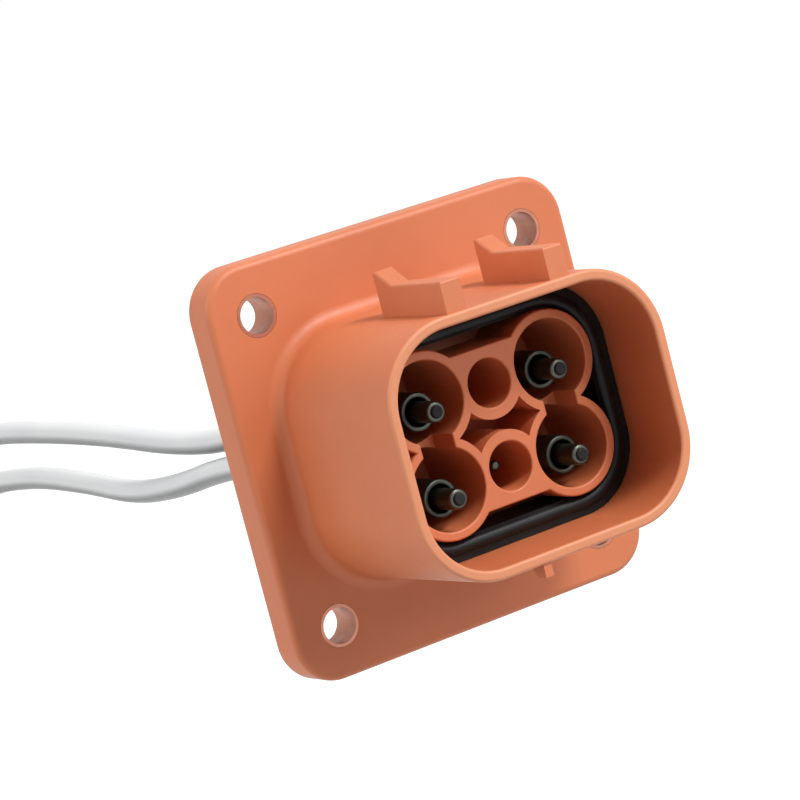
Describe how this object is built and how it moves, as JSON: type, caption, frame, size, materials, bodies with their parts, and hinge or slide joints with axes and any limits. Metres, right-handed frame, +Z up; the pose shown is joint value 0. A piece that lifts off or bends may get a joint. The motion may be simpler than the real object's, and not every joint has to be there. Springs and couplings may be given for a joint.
{
  "type": "high voltage panel receptacle",
  "caption": "Square-flanged panel receptacle with a keyed shroud round sleeved power pins, interlock pins and sealing rings, and interlock leads ending in a small plug.",
  "frame": {"origin": "centre of the square bolt pattern on the flange's mounting face", "axes": "+Y through the panel, away from the mating side; +Z up, towards the two keys; +X to the right, seen from the mating side"},
  "size_m": [0.064, 0.2706, 0.1095],
  "materials": {
    "orange_plastic": "fine matte moulded",
    "black_plastic": "matte moulded",
    "black_rubber": "smooth, slightly glossy",
    "plated_contact": "plated, grey-green",
    "limiter_brass": "plain turned",
    "zinc_steel": "zinc plated",
    "lead_jacket": "glossy pale grey"
  },
  "bodies": {
    "root": {"contact_carrier": "orange_plastic", "contact_sleeve_lower_left": "plated_contact", "contact_sleeve_lower_right": "plated_contact", "contact_sleeve_upper_left": "plated_contact", "contact_sleeve_upper_right": "plated_contact", "housing": "orange_plastic", "interlock_lead_lower": "lead_jacket", "interlock_lead_upper": "lead_jacket", "interlock_pin_lower": "plated_contact", "interlock_pin_upper": "plated_contact", "lead_plug": "black_plastic", "lead_plug_seal": "black_rubber", "lead_plug_terminal_lower": "plated_contact", "lead_plug_terminal_upper": "plated_contact", "lead_seal_lower": "black_rubber", "lead_seal_upper": "black_rubber", "limiter_lower_left": "limiter_brass", "limiter_lower_right": "limiter_brass", "limiter_upper_left": "limiter_brass", "limiter_upper_right": "limiter_brass", "mating_seal": "black_rubber", "panel_seal": "black_rubber", "pin_tip_lower_left": "black_plastic", "pin_tip_lower_right": "black_plastic", "pin_tip_upper_left": "black_plastic", "pin_tip_upper_right": "black_plastic", "power_pin_lower_left": "plated_contact", "power_pin_lower_right": "plated_contact", "power_pin_upper_left": "plated_contact", "power_pin_upper_right": "plated_contact", "rear_retainer": "black_plastic", "retainer_screws": "zinc_steel"}
  },
  "joints": []
}
